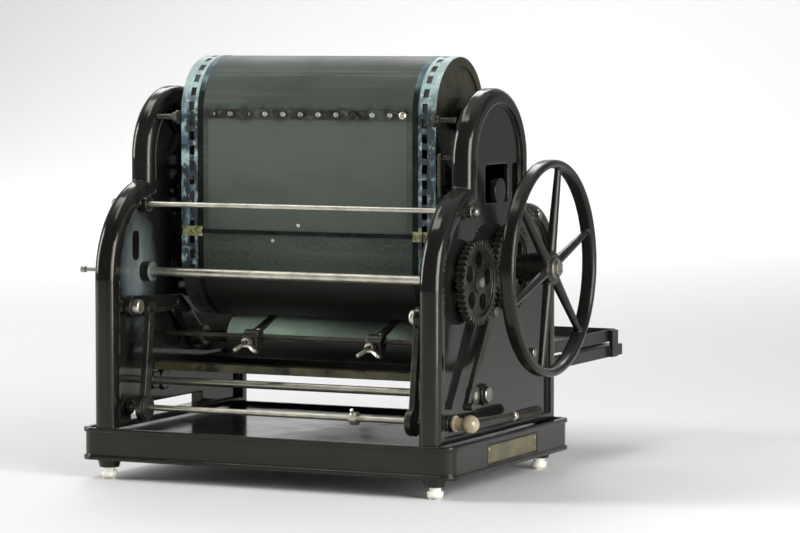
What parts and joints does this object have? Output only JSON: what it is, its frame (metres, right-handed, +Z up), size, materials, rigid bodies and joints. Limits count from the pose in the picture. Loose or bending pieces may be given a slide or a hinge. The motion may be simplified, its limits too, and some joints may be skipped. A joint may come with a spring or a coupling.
{
  "type": "stencil duplicator",
  "caption": "Hand-driven stencil duplicator with two cylinders, an endless silk screen, a handwheel, an impression roller and a feed table.",
  "frame": {"origin": "under the middle of the whole machine, at the level of the table that its feet stand on", "axes": "+X to the handwheel side, +Y to the paper feed table at the back, +Z up"},
  "size_m": [0.496, 0.575, 0.423],
  "materials": {
    "black_enamel": "gloss enamel",
    "black_sheet": "satin enamel",
    "black_grip": "gloss",
    "nickel": "worn nickel",
    "steel": "oiled",
    "brass": "dull",
    "inked_metal": "ink stained",
    "silk": "inked",
    "band": "sized cloth",
    "roller_rubber": "matt",
    "glazed_feet": "glazed"
  },
  "bodies": {
    "frame": {"base": "black_enamel", "foot_cups": "black_enamel", "feet": "glazed_feet", "left_side_frame": "black_enamel", "right_side_frame": "black_enamel", "upper_tie_rod": "nickel", "lower_tie_rod": "nickel", "frame_fasteners": "nickel", "guide_rod": "nickel", "delivery_bar": "inked_metal", "upper_bushes": "brass", "lower_bushes": "brass", "silk_screen": "silk", "left_edge_band": "band", "right_edge_band": "band", "heading_strip": "silk", "heading_studs": "steel", "heading_knob": "nickel", "seam_bar": "steel", "seam_clips": "brass", "band_guides": "nickel", "arm_pivots": "nickel", "trip_stud": "nickel", "table_rails": "black_sheet"},
    "lower_drum": {"lower_cylinder": "inked_metal", "lower_end_discs": "inked_metal", "main_shaft": "steel", "shaft_collar": "nickel", "drive_gear": "steel", "handwheel": "black_enamel", "handwheel_nut": "nickel"},
    "upper_drum": {"upper_cylinder": "inked_metal", "upper_end_discs": "inked_metal", "upper_axle": "steel"},
    "ink_drum": {"ink_roller": "roller_rubber", "ink_roller_shaft": "steel"},
    "front_drive": {"front_shaft": "nickel", "front_gear": "steel", "shaft_knob": "nickel"},
    "impression_arms": {"impression_axle": "steel", "left_impression_arm": "black_enamel", "right_impression_arm": "black_enamel"},
    "impression_drum": {"impression_roller": "roller_rubber", "impression_core": "steel"},
    "lift": {"lift_links": "steel"},
    "control": {"control_shaft": "nickel", "eccentrics": "steel", "lever_hub": "brass", "hand_lever": "nickel", "lever_grip": "black_grip"},
    "trip": {"trip_lever": "steel"},
    "stripper_left": {"left_stripper": "steel"},
    "wing_left": {"left_wing_nut": "nickel"},
    "stripper_right": {"right_stripper": "steel"},
    "wing_right": {"right_wing_nut": "nickel"},
    "table": {"feed_table": "black_sheet"},
    "guide_left": {"left_side_guide": "nickel"},
    "guide_right": {"right_side_guide": "nickel"},
    "feed": {"feed_shaft": "steel", "feed_wheels": "roller_rubber"}
  },
  "joints": [
    {"name": "drum_spin", "type": "hinge", "parent": "frame", "child": "lower_drum", "pos_m": [-0.002, -0.1305, 0.215], "axis": [1, 0, 0], "continuous": true},
    {"name": "upper_spin", "type": "hinge", "parent": "frame", "child": "upper_drum", "pos_m": [-0.002, -0.1305, 0.365], "axis": [1, 0, 0], "continuous": true},
    {"name": "ink_spin", "type": "hinge", "parent": "frame", "child": "ink_drum", "pos_m": [-0.002, -0.1305, 0.29], "axis": [1, 0, 0], "continuous": true},
    {"name": "front_shaft_spin", "type": "hinge", "parent": "frame", "child": "front_drive", "pos_m": [-0.002, -0.21189, 0.20501], "axis": [1, 0, 0], "continuous": true},
    {"name": "impression_spin", "type": "hinge", "parent": "impression_arms", "child": "impression_drum", "pos_m": [-0.002, -0.1305, 0.1347], "axis": [1, 0, 0], "continuous": true},
    {"name": "feed_spin", "type": "hinge", "parent": "frame", "child": "feed", "pos_m": [-0.002, -0.0475, 0.172], "axis": [1, 0, 0], "continuous": true},
    {"name": "hand_lever_turn", "type": "hinge", "parent": "frame", "child": "control", "pos_m": [-0.002, -0.2495, 0.071], "axis": [1, 0, 0], "range_deg": [0, 30]},
    {"name": "impression_drop", "type": "hinge", "parent": "frame", "child": "impression_arms", "pos_m": [-0.002, -0.2595, 0.173], "axis": [1, 0, 0], "range_deg": [-9, 0.1]},
    {"name": "link_lift", "type": "slide", "parent": "frame", "child": "lift", "axis": [0, 0, 1], "range_m": [-0.003, 0.0001]},
    {"name": "trip_swing", "type": "hinge", "parent": "frame", "child": "trip", "pos_m": [-0.002, -0.174, 0.174], "axis": [1, 0, 0], "range_deg": [-6, 8]},
    {"name": "left_stripper_slide", "type": "slide", "parent": "frame", "child": "stripper_left", "axis": [1, 0, 0], "range_m": [-0.03, 0.03]},
    {"name": "left_wing_turn", "type": "hinge", "parent": "stripper_left", "child": "wing_left", "pos_m": [-0.052, -0.2165, 0.138], "axis": [0, -1, 0], "range_deg": [-180, 180]},
    {"name": "right_stripper_slide", "type": "slide", "parent": "frame", "child": "stripper_right", "axis": [1, 0, 0], "range_m": [-0.03, 0.03]},
    {"name": "right_wing_turn", "type": "hinge", "parent": "stripper_right", "child": "wing_right", "pos_m": [0.085, -0.2165, 0.138], "axis": [0, -1, 0], "range_deg": [-180, 180]},
    {"name": "table_tilt", "type": "hinge", "parent": "frame", "child": "table", "pos_m": [-0.002, 0.2575, 0.113], "axis": [-1, 0, 0], "range_deg": [0, 5]},
    {"name": "left_guide_slide", "type": "slide", "parent": "table", "child": "guide_left", "axis": [-1, 0, 0], "range_m": [0, 0.012]},
    {"name": "right_guide_slide", "type": "slide", "parent": "table", "child": "guide_right", "axis": [1, 0, 0], "range_m": [0, 0.012]}
  ],
  "couplings": [
    {"joint": "upper_spin", "follows": "drum_spin", "ratio": 1},
    {"joint": "ink_spin", "follows": "drum_spin", "ratio": -3.2203},
    {"joint": "front_shaft_spin", "follows": "drum_spin", "ratio": -1.05},
    {"joint": "impression_spin", "follows": "drum_spin", "ratio": -2.6364},
    {"joint": "feed_spin", "follows": "drum_spin", "ratio": -3.625},
    {"joint": "impression_drop", "follows": "hand_lever_turn", "ratio": -0.28},
    {"joint": "link_lift", "follows": "hand_lever_turn", "m_per_rad": -0.00476}
  ]
}
